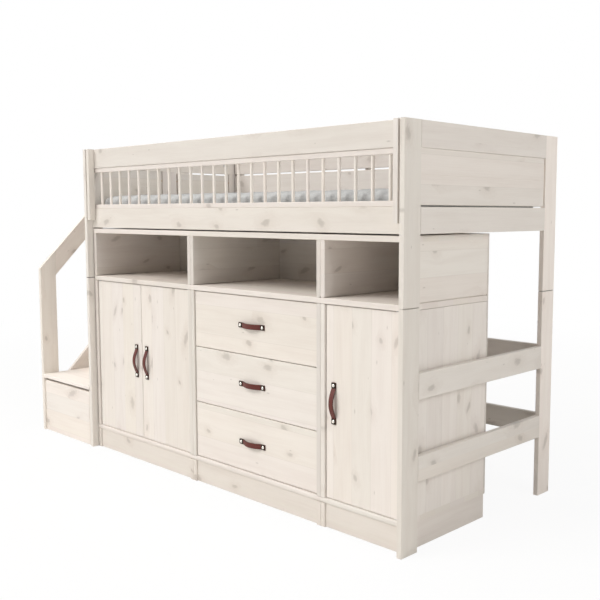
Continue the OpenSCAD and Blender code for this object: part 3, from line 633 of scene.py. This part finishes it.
class MattressMake(PropertyGroup):
    """Sizes and colours of the mattress."""

    voxel: number_setting(
        "Cloth grid", "Size of the cloth's grid while it is simulated", 0.0133, 0.008, 0.03)
    swell: number_setting(
        "Swell", "Furthest that the filling may push the cover out", 0.007, 0, 0.01)
    pressure: number_setting(
        "Pressure", "Pressure of the filling on the cover", 4, 0, 10, "NONE")
    frames: IntProperty(
        name="Frames", description="Length of the simulation", default=20, min=5, max=40,
    )
    edge_radius: number_setting("Edge radius", "Radius of the upper edges", 0.045, 0.01, 0.06)
    piping_radius: number_setting(
        "Piping", "Radius of the piping along the lower edge", 0.0035, 0.002, 0.006)
    light_thread: colour_setting("Light thread", "Colour of the lighter threads", "#cbcccc")
    dark_thread: colour_setting("Dark thread", "Colour of the darker threads", "#b2b4b5")
    piping_colour: colour_setting("Piping colour", "Colour of the piping", "#cdcece")


class HandleMake(PropertyGroup):
    """Sizes and colours of the strap handles."""

    width: number_setting("Width", "Width of a strap", 0.0225, 0.015, 0.03)
    thickness: number_setting("Thickness", "Thickness of the leather", 0.004, 0.003, 0.005)
    length: number_setting("Length", "Length of a strap as it hangs", 0.162, 0.12, 0.2)
    pitch: number_setting(
        "Screw distance", "Distance between a strap's screws", 0.138, 0.09, 0.15)
    flat: number_setting(
        "Flat length", "Length that lies flat beside each screw", 0.012, 0.008, 0.02)
    bow: number_setting("Bow", "Rise of a strap's middle", 0.017, 0.014, 0.026)
    plate: colour_setting("Plate colour", "Colour of the end plates", "#3a332c")
    plate_width: number_setting("Plate width", "Width of an end plate", 0.0205, 0.016, 0.03)
    plate_length: number_setting(
        "Plate length", "Length of an end plate along the strap", 0.022, 0.016, 0.03)
    screw_radius: number_setting(
        "Screw radius", "Radius of a screw's head", 0.0066, 0.003, 0.008)
    screw: colour_setting("Screw colour", "Colour of the screws", "#e8e6e0")
    steel: colour_setting("Steel colour", "Colour of the pivots and connectors", "#c9ccd0")
    leather: colour_setting("Leather", "Colour of the leather's face", "#692a21")
    leather_dark: colour_setting(
        "Leather, dark", "Colour of the leather where it is darker", "#4f1f18")
    leather_edge: colour_setting("Leather, edges", "Colour of the burnished edges", "#351812")


class StageMake(PropertyGroup):
    """Floor, lamps and camera."""

    floor_radius: number_setting(
        "Floor radius", "Distance at which the floor has faded to white", 6.0, 2, 20)
    shadow: number_setting(
        "Shadow", "Share of the floor's brightness that the lamps give", 0.08, 0, 1, "NONE",
        "FACTOR")
    key_power: number_setting(
        "Key lamp", "Power of the large lamp at the front", 1800, 0, 9000, "POWER")
    top_power: number_setting("Top lamp", "Power of the lamp above", 50, 0, 3000, "POWER")
    side_power: number_setting(
        "Side lamp", "Power of the lamp at the right", 158, 0, 3000, "POWER")
    world_strength: number_setting(
        "Room light", "Strength of the room's soft light from above", 0.43, 0, 2, "NONE")
    lens: number_setting(
        "Lens", "Focal length on a sensor 36 mm wide", 50.196, 10, 200, "NONE")


class LoftBedSettings(PropertyGroup):
    """All settings of the loft bed."""

    pine: PointerProperty(type=PineFinish)
    bare: PointerProperty(type=BareFinish)
    mattress: PointerProperty(type=MattressMake)
    handles: PointerProperty(type=HandleMake)
    stage: PointerProperty(type=StageMake)


class LOFTBED_OT_stage(Operator):
    """Makes the camera, the floor, the lamps and the world"""

    bl_idname = "loftbed.stage"
    bl_label = "Stage"

    def execute(self, context):
        make = context.scene.loft_bed.stage
        self.camera(context.scene, make)
        self.floor(make)
        self.room(context.scene, make)
        for name, (size, place, target) in LAMPS.items():
            self.lamp(name, getattr(make, name + "_power"), size, place, target)
        context.scene.view_settings.view_transform = "Standard"
        return {"FINISHED"}

    def camera(self, scene, make):
        """The camera stands at the right front, a little under the height of the guard."""
        camera = bpy.data.cameras.new("camera")
        camera.sensor_width = 36
        camera.lens = make.lens
        camera.shift_x, camera.shift_y = CAMERA_SHIFT
        camera.clip_end = 100
        viewer = bpy.data.objects.new("camera", camera)
        scene.collection.objects.link(viewer)
        turn = math.radians(CAMERA_TURN)
        tilt = math.radians(CAMERA_TILT)
        ahead = Vector((-math.sin(turn) * math.cos(tilt), math.cos(turn) * math.cos(tilt),
                        -math.sin(tilt)))
        right = Vector((math.cos(turn), math.sin(turn), 0))
        axes = Matrix((right, right.cross(ahead), -ahead)).transposed().to_4x4()
        viewer.matrix_world = Matrix.Translation(CAMERA_PLACE) @ axes
        scene.camera = viewer

    def floor(self, make):
        """A disc whose rings lie wider apart outwards."""
        radii = np.concatenate([np.linspace(0, 3, 13), np.linspace(4, 30, 10)])
        angles = np.linspace(0, FULL_TURN, 64, endpoint=False)
        grid = np.stack([
            np.outer(radii, np.cos(angles)), np.outer(radii, np.sin(angles)),
            np.full((len(radii), len(angles)), FLOOR_LEVEL),
        ], axis=-1)
        floor = mesh_object("floor", [surface(grid, close_v=True)])
        dress(floor, self.floor_material(make))

    def floor_material(self, make):
        """Pale painted floor: the camera sees it white, with a share of the lamps' light."""
        material, node, place = new_material("painted_floor")
        # Speckle of the roller, about 30 mm across
        speckle = node("TexNoise", Vector=place, Scale=30.0, Detail=4.0)
        darker, paler = map(linear, FLOOR_PAINT)
        paint = node("Mix RGBA", {0: speckle, 6: darker, 7: paler})
        lit = node("BsdfDiffuse", Color=paint)
        white = node("Emission", Color=linear("#ffffff"))
        distance = node("VectorMath LENGTH", place)
        share = node(
            "MapRange", distance, 0.35 * make.floor_radius, make.floor_radius, make.shadow, 0.0,
            interpolation_type="SMOOTHSTEP",
        )
        seen = node("MixShader", share, white, lit)
        camera_ray = node("LightPath").outputs["Is Camera Ray"]
        node("OutputMaterial", node("MixShader", camera_ray, lit, seen))
        return material

    def room(self, scene, make):
        """The world is white to look at, and its light fades from above to the horizon."""
        world = bpy.data.worlds.new("studio")
        node = partial(add, empty_tree(world))
        ray = node("LightPath").outputs
        seen = node("MAXIMUM", ray["Is Camera Ray"], ray["Is Glossy Ray"])
        seen = node("MAXIMUM", seen, ray["Is Transmission Ray"])
        height = node("SeparateXYZ", node("TexCoord").outputs["Generated"]).outputs[2]
        strength = node(
            "MapRange", height, 0.0, 0.8, 0.3 * make.world_strength, make.world_strength)
        soft = node("Background", Color=linear(ROOM_COLOUR), Strength=strength)
        white = node("Background", Color=linear("#ffffff"))
        node("OutputWorld", node("MixShader", seen, soft, white))
        scene.world = world

    def lamp(self, name, power, size, place, target):
        """Makes a square area lamp that faces a point."""
        light = bpy.data.lights.new(name, "AREA")
        light.energy = power
        light.size = size
        light.color = linear(LAMP_COLOUR)
        obj = bpy.data.objects.new(name, light)
        bpy.context.scene.collection.objects.link(obj)
        turn = (Vector(target) - Vector(place)).to_track_quat("-Z", "Y").to_matrix().to_4x4()
        obj.matrix_world = Matrix.Translation(place) @ turn


class LOFTBED_OT_pine(Operator):
    """Gives every wooden node its grain, cut by cut"""

    bl_idname = "loftbed.pine"
    bl_label = "Pine boards"

    def execute(self, context):
        settings = context.scene.loft_bed
        group = pine_group()
        seed = 1.0
        for table, finish, word in (
            (WHITEWASHED, settings.pine, "whitewashed_pine_"),
            (BARE, settings.bare, "bare_pine_"),
        ):
            for name, facts in table.items():
                seed += SEED_STEP
                # How strong the painted shade in this post's seam groove is, none on other nodes
                seam_painted_shade = PAINTED_SHADE_IN_SEAM.get(name, 0.0)
                material = pine_material(word + name, group, seed, facts, finish, seam_painted_shade)
                dress(NODES[name], material)
        return {"FINISHED"}


class LOFTBED_OT_fittings(Operator):
    """Gives the door pivots and the rail connectors their metal"""

    bl_idname = "loftbed.fittings"
    bl_label = "Pivots and connectors"

    def execute(self, context):
        # Zinc-plated steel, turned and tumbled: bright grey with a soft shine, and with spangle
        # about 2 mm across
        steel = metal("zinc_plated_steel", context.scene.loft_bed.handles.steel,
                      (0.0, 1.0, 0.24, 0.38), "TexVoronoi", Scale=500.0)
        for name in ("door_pivots", "rail_connectors"):
            dress(NODES[name], steel)
        return {"FINISHED"}


class LOFTBED_OT_handles(Operator):
    """Makes the strap handles with their end plates and screws"""

    bl_idname = "loftbed.handles"
    bl_label = "Strap handles"

    def execute(self, context):
        make = context.scene.loft_bed.handles
        leather = strap_leather(make)
        # Bronzed steel sheet, oiled: nearly black with a dull shine, in clouds of about 5 mm
        bronze = metal("bronzed_steel", make.plate, (0.3, 0.7, 0.34, 0.5), "TexNoise",
                       Scale=220.0, Detail=3.0)
        # Nickel-plated steel, polished: bright, with fine marks of the driver of about 1 mm
        nickel = metal("nickel_plated_steel", make.screw, (0.3, 0.7, 0.16, 0.3), "TexNoise",
                       Scale=900.0, Detail=2.0)
        for node, (body, upright) in HANDLES.items():
            low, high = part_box(node)
            middle = np.array([(low[0] + high[0]) / 2, high[1], (low[2] + high[2]) / 2])
            strap = self.strap(node.replace("handle", "strap"), make, middle, upright)
            plates = self.plates(node.replace("handle", "strap_plates"), make, middle, upright)
            screws = self.screws(node.replace("handle", "strap_screws"), make, middle, upright)
            for piece, material, slot in (
                (strap, leather, "strap_leather"), (plates, bronze, "connector_steel"),
                (screws, nickel, "connector_steel"),
            ):
                dress(piece, material)
                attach(piece, body)
            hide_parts(node)
        return {"FINISHED"}

    def placed(self, points, middle, upright):
        """Turns points (along, off the front, across) to a door's or a drawer's front."""
        along, off, wide = points[..., 0], points[..., 1], points[..., 2]
        turned = (wide, -off, along) if upright else (along, -off, wide)
        return np.stack(turned, axis=-1) + middle

    def rise(self, s, make):
        """Height of a strap's underside: an arc of a cosine between its flat ends."""
        reach = make.pitch / 2 - make.flat
        return make.bow * np.clip(np.cos(QUARTER_TURN * np.clip(s / reach, -1, 1)), 0, 1)

    def strap(self, name, make, middle, upright):
        """A superellipse of the strap's width and thickness, carried along its bowed path."""
        half = make.length / 2
        u = np.linspace(-1, 1, 121)
        # Stations lie closer together towards the ends
        s = half * (0.25 * np.sin(u * QUARTER_TURN) + 0.75 * u)
        z = self.rise(s, make) + make.thickness / 2
        ds = np.gradient(s)
        dz = np.gradient(z)
        normal = np.stack([-dz, ds], axis=-1) / np.hypot(ds, dz)[:, None]
        v = np.linspace(0, FULL_TURN, 40, endpoint=False)
        # Exponents make a flat band with small round edges
        wide = make.width / 2 * squared(np.cos(v), 0.24)
        thick = make.thickness / 2 * squared(np.sin(v), 0.45)
        # The ends close over the last millimetre, and grow a little narrower there
        gone = np.clip((half - np.abs(s)) / 0.0012, 0, 1)
        close = np.sqrt(1 - (1 - gone) ** 2)
        narrow = 0.86 + 0.14 * close
        narrow[[0, -1]] = 0
        off = close[:, None] * thick
        points = np.stack([
            s[:, None] + normal[:, :1] * off, z[:, None] + normal[:, 1:] * off,
            narrow[:, None] * wide,
        ], axis=-1)
        # The underside lies just off the front, so that the strap seats without touching it
        points[..., 1] = np.maximum(points[..., 1], SEAT)
        obj = mesh_object(name, [surface(self.placed(points, middle, upright), close_v=True)])
        # How near each point is to a long edge, for the burnished colour
        axis = 0 if upright else 2
        side = np.abs(read_points(obj)[:, axis] - middle[axis]) / (make.width / 2)
        edge = obj.data.attributes.new("edge", "FLOAT", "POINT")
        edge.data.foreach_set("value", np.clip((side - 0.86) / 0.12, 0, 1))
        return obj

    def plates(self, name, make, middle, upright):
        """Two rounded squares of sheet, whose edges roll over to the strap's face.

        The radii are shares of half a plate's size, and the levels of its thickness.
        """
        v = np.linspace(0, FULL_TURN, 48, endpoint=False)
        along = make.plate_length / 2 * squared(np.cos(v), 0.22)
        across = make.plate_width / 2 * squared(np.sin(v), 0.22)
        radii = 1 - np.array([1.0, 0.5, 0.06, 0.02, 0.0, 0.0, 0.02, 0.5, 1.0])
        levels = np.array([1.0, 1.0, 1.0, 0.85, 0.6, 0.25, 0.0, 0.0, 0.0])
        height = make.thickness + SEAT + PLATE_THICKNESS * levels
        return self.pair(name, make, (along, across, radii, height), middle, upright, False)

    def screws(self, name, make, middle, upright):
        """Two domed heads with a round recess, each a profile turned round the screw's axis.

        The radii are shares of the head's radius, and the levels of its height.
        """
        v = np.linspace(0, FULL_TURN, 36, endpoint=False)
        along, across = make.screw_radius * np.cos(v), make.screw_radius * np.sin(v)
        radii = np.array([0.0, 0.26, 0.30, 0.34, 0.5, 0.68, 0.84, 0.95, 1.0, 1.0, 0.9, 0.0])
        levels = np.array([0.62, 0.62, 0.86, 1.0, 0.93, 0.8, 0.6, 0.38, 0.15, 0.02, 0.0, 0.0])
        base = make.thickness + SEAT + PLATE_THICKNESS + SCREW_SEAT
        height = base + SCREW_HEIGHT * levels
        return self.pair(name, make, (along, across, radii, height), middle, upright, True)

    def pair(self, name, make, form, middle, upright, smooth):
        """One object of two like pieces, one at each screw.

        A piece is an outline, along and across the strap, scaled by each radius in turn and
        lifted to the height that goes with it, from the middle of the top to that of the
        underside.
        """
        along, across, radii, height = form
        parts = []
        for side in (-1, 1):
            grid = np.stack([
                side * make.pitch / 2 + np.outer(radii, along),
                np.repeat(height[:, None], len(along), axis=1),
                np.outer(radii, across),
            ], axis=-1)
            parts.append(surface(self.placed(grid, middle, upright), close_v=True))
        return mesh_object(name, parts, smooth)


class LOFTBED_OT_mattress(Operator):
    """Makes the mattress: its cover is blown up by a cloth simulation, then piped"""

    bl_idname = "loftbed.mattress"
    bl_label = "Mattress"

    def execute(self, context):
        make = context.scene.loft_bed.mattress
        low, high = (np.array(corner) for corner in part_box("mattress"))
        cover = self.cover(context.scene, make, low, high)
        dress(cover, mattress_cloth(make))
        piping = self.piping(make, low, high)
        dress(piping, mattress_cloth(make, piping=True))
        for piece in (cover, piping):
            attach(piece, BED)
        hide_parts("mattress")
        return {"FINISHED"}

    def cover(self, scene, make, low, high):
        """The CAD mattress, a little smaller, remeshed, blown up, smoothed and shaped."""
        mesh = NODES["mattress"].data.copy()
        mesh.materials.clear()
        cover = new_object("mattress_cover", mesh)
        merge_doubles(outwards=False)
        middle = (low + high) / 2
        shrink = 1 - make.swell / (high - low)
        write_points(cover, middle + (read_points(cover) - middle) * shrink)
        self.modify(cover, "grid", "REMESH", mode="VOXEL", voxel_size=make.voxel)
        start = read_points(cover)
        self.inflate(scene, cover, make)
        # The filling pushes no point further out than the swell
        moved = read_points(cover) - start
        far = np.maximum(np.linalg.norm(moved, axis=1, keepdims=True), 1e-9)
        write_points(cover, start + moved * np.minimum(1, make.swell / far))
        self.modify(cover, "ironed", "SMOOTH", factor=0.5, iterations=6)
        write_points(cover, self.shaped(read_points(cover), make, low, high))
        self.modify(cover, "finer", "SUBSURF", levels=1, render_levels=1)
        # It lies flat on its slats, and stays between the rails, within 2 mm of the CAD's box
        points = read_points(cover)
        points[:, 2] = np.maximum(points[:, 2], low[2])
        points[:, :2] = np.clip(points[:, :2], low[:2] - 0.002, high[:2] + 0.002)
        write_points(cover, points)
        cover.data.shade_smooth()
        return cover

    def modify(self, obj, name, kind, **settings):
        """Adds a modifier, sets its properties and applies it."""
        modifier = obj.modifiers.new(name, kind)
        for key, value in settings.items():
            setattr(modifier, key, value)
        bpy.ops.object.modifier_apply(modifier=name)

    def inflate(self, scene, cover, make):
        """Simulates the cover as cloth under the filling's pressure, without gravity."""
        cloth = cover.modifiers.new("filling", "CLOTH")
        cloth.settings.use_pressure = True
        cloth.settings.uniform_pressure_force = make.pressure
        cloth.settings.tension_stiffness = 25
        cloth.settings.compression_stiffness = 25
        cloth.settings.bending_stiffness = 2
        cloth.settings.effector_weights.gravity = 0
        cloth.point_cache.frame_start = 1
        cloth.point_cache.frame_end = make.frames
        for k in range(1, make.frames + 1):
            scene.frame_set(k)
        bpy.ops.object.modifier_apply(modifier=cloth.name)
        scene.frame_set(1)

    def shaped(self, points, make, low, high):
        """Rounds the cover's upper edges, draws it in at its lower seam, and quilts its top.

        An upper edge is a quarter of a circle whose radius is the edge radius. The seam is a
        bell curve of the height over it, and the quilting is a product of two cosines, faded
        out near the edges.
        """
        radius = make.edge_radius
        x, y, z = points.T
        top_z = z.max()
        over = np.clip((z - (top_z - radius)) / radius, 0, 1)
        inset = radius * (1 - np.sqrt(1 - over ** 2))
        near_seam = np.exp(-((z - low[2] - SEAM_OVER_BASE) / 0.006) ** 2)
        for axis in (0, 1):
            away = points[:, axis] - (low[axis] + high[axis]) / 2
            from_side = np.clip((high[axis] - low[axis]) / 2 - np.abs(away), 0, None)
            share = np.clip(1 - from_side / (2 * radius), 0, 1)
            drawn = inset * share + 0.003 * near_seam * share ** 8
            points[:, axis] -= np.sign(away) * drawn
        top = np.clip((z - (top_z - 0.02)) / 0.008, 0, 1)
        inward = np.minimum.reduce([x - low[0], high[0] - x, y - low[1], high[1] - y])
        inside = np.clip((inward - 0.05) / 0.05, 0, 1)
        first, second = (np.cos(np.pi * way / QUILT_SPACING) for way in (x + y, x - y))
        z -= QUILT_DEPTH * (1 - np.sqrt(np.abs(first * second))) * top * inside
        return points

    def piping(self, make, low, high):
        """A round cord along the mattress's lower edge, on a rectangle with round corners.

        Each side is drawn in by an arc of a sine, like the mattress's.
        """
        corner, draw, sunk = 0.045, 0.004, 0.0015
        signs = np.array([(1, 1), (-1, 1), (-1, -1), (1, -1)])
        centres = (low[:2] + high[:2]) / 2 + signs * ((high[:2] - low[:2]) / 2 - corner)
        steps = np.linspace(0, 1, 60, endpoint=False)[:, None]
        turn = np.linspace(0, QUARTER_TURN, 14, endpoint=False)
        path = []
        for k in range(4):
            angle = turn + k * QUARTER_TURN
            path.append(centres[k] + corner * np.stack([np.cos(angle), np.sin(angle)], axis=-1))
            end = (k + 1) * QUARTER_TURN
            outwards = np.array([np.cos(end), np.sin(end)])
            side = centres[k] + (centres[(k + 1) % 4] - centres[k]) * steps
            path.append(side + outwards * (corner - draw * np.sin(np.pi * steps)))
        path = np.concatenate(path)
        ahead = np.roll(path, -1, axis=0) - np.roll(path, 1, axis=0)
        ahead /= np.linalg.norm(ahead, axis=1, keepdims=True)
        out = np.stack([ahead[:, 1], -ahead[:, 0]], axis=-1)
        v = np.linspace(0, FULL_TURN, 10, endpoint=False)
        rim = path[:, None] + out[:, None] * (make.piping_radius * np.cos(v) - sunk)[:, None]
        z = low[2] + SEAM_OVER_BASE + make.piping_radius * np.sin(v)
        grid = np.concatenate([rim, np.broadcast_to(z, rim.shape[:2])[..., None]], axis=-1)
        return mesh_object("mattress_piping", [surface(grid, close_u=True, close_v=True)])


class LOFTBED_PT_panel(Panel):
    """Lists the pieces of the loft bed"""

    bl_idname = "LOFTBED_PT_panel"
    bl_label = "Loft bed"
    bl_space_type = "VIEW_3D"
    bl_region_type = "UI"
    bl_category = "Loft bed"

    def draw(self, context):
        settings = context.scene.loft_bed
        for label, group, operator in (
            ("Stage", settings.stage, LOFTBED_OT_stage),
            ("Whitewashed pine", settings.pine, LOFTBED_OT_pine),
            ("Bare pine", settings.bare, LOFTBED_OT_pine),
            ("Mattress", settings.mattress, LOFTBED_OT_mattress),
            ("Handles and fittings", settings.handles, LOFTBED_OT_handles),
        ):
            box = self.layout.box()
            box.label(text=label)
            for name in group.__annotations__:
                box.prop(group, name)
            box.operator(operator.bl_idname)
        self.layout.operator(LOFTBED_OT_fittings.bl_idname)


CLASSES = (
    PineFinish, BareFinish, MattressMake, HandleMake, StageMake, LoftBedSettings,
    LOFTBED_OT_stage, LOFTBED_OT_pine, LOFTBED_OT_fittings, LOFTBED_OT_handles,
    LOFTBED_OT_mattress, LOFTBED_PT_panel,
)


def register():
    for cls in CLASSES:
        bpy.utils.register_class(cls)
    bpy.types.Scene.loft_bed = PointerProperty(type=LoftBedSettings)


def unregister():
    del bpy.types.Scene.loft_bed
    for cls in reversed(CLASSES):
        bpy.utils.unregister_class(cls)


def main():
    register()
    bpy.ops.loftbed.stage()
    bpy.ops.loftbed.pine()
    bpy.ops.loftbed.fittings()
    bpy.ops.loftbed.handles()
    bpy.ops.loftbed.mattress()


if __name__ == "__main__":
    main()
